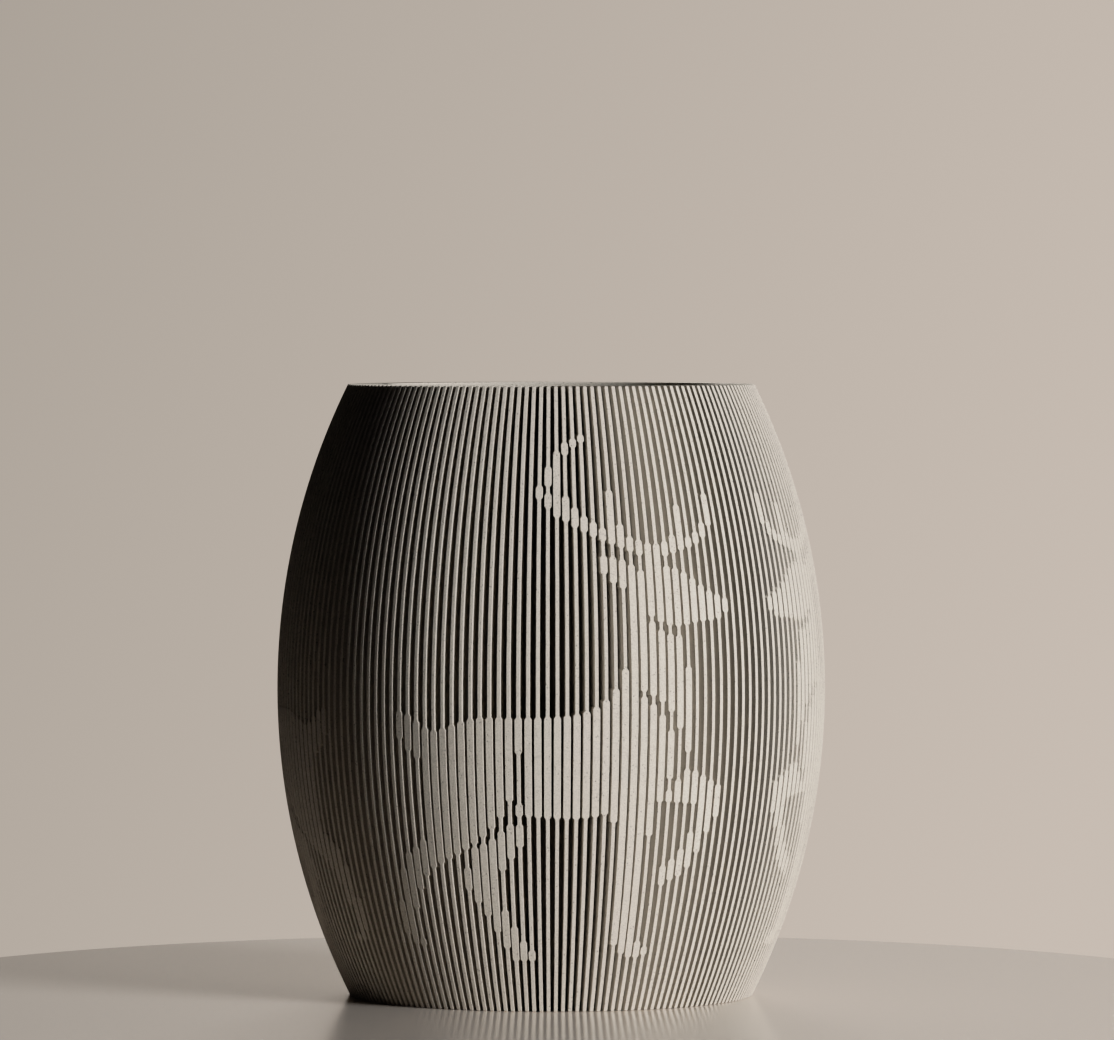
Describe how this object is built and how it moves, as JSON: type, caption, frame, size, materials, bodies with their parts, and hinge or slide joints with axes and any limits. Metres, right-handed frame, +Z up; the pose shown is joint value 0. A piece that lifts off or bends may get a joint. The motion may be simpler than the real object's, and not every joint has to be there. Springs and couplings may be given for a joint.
{
  "type": "finned vase",
  "caption": "Open barrel vase with upright fins round a plain inner wall; stretches of thicker fins draw standing stags.",
  "frame": {"origin": "centre of the foot, on the surface that the vase stands on", "axes": "+Z up along the barrel's axis, -Y towards the viewer of the first stag, +X the way that stag looks"},
  "size_m": [0.179, 0.179, 0.2],
  "materials": {
    "printed_body": "matte, fine layer lines"
  },
  "bodies": {
    "root": {"fin_04_hind_hoof": "printed_body", "fin_05_hind_hoof": "printed_body", "fin_06_tail": "printed_body", "fin_07_tail": "printed_body", "fin_08_tail": "printed_body", "fin_09_rump": "printed_body", "fin_10_rump": "printed_body", "fin_11_rump": "printed_body", "fin_12_rump": "printed_body", "fin_13_hind_leg": "printed_body", "fin_14_hind_leg": "printed_body", "fin_15_hind_leg": "printed_body", "fin_16_hind_leg": "printed_body", "fin_17_hind_leg": "printed_body", "fin_18_hind_leg": "printed_body", "fin_19_flank": "printed_body", "fin_20_flank": "printed_body", "fin_21_flank": "printed_body", "fin_22_flank": "printed_body", "fin_23_flank": "printed_body", "fin_24_flank": "printed_body", "fin_25_flank": "printed_body", "fin_26_flank": "printed_body", "fin_27_flank": "printed_body", "fin_28_ear": "printed_body", "fin_29_ear": "printed_body", "fin_30_ear": "printed_body", "fin_31_neck": "printed_body", "fin_32_neck": "printed_body", "fin_33_antler_base": "printed_body", "fin_34_antler_base": "printed_body", "fin_35_chest": "printed_body", "fin_36_chest": "printed_body", "fin_37_chest": "printed_body", "fin_38_foreleg": "printed_body", "fin_39_foreleg": "printed_body", "fin_40_foreleg": "printed_body", "fin_41_foreleg": "printed_body", "fin_42_nose": "printed_body", "floor": "printed_body", "inner_wall": "printed_body", "plain_fins": "printed_body"}
  },
  "joints": []
}
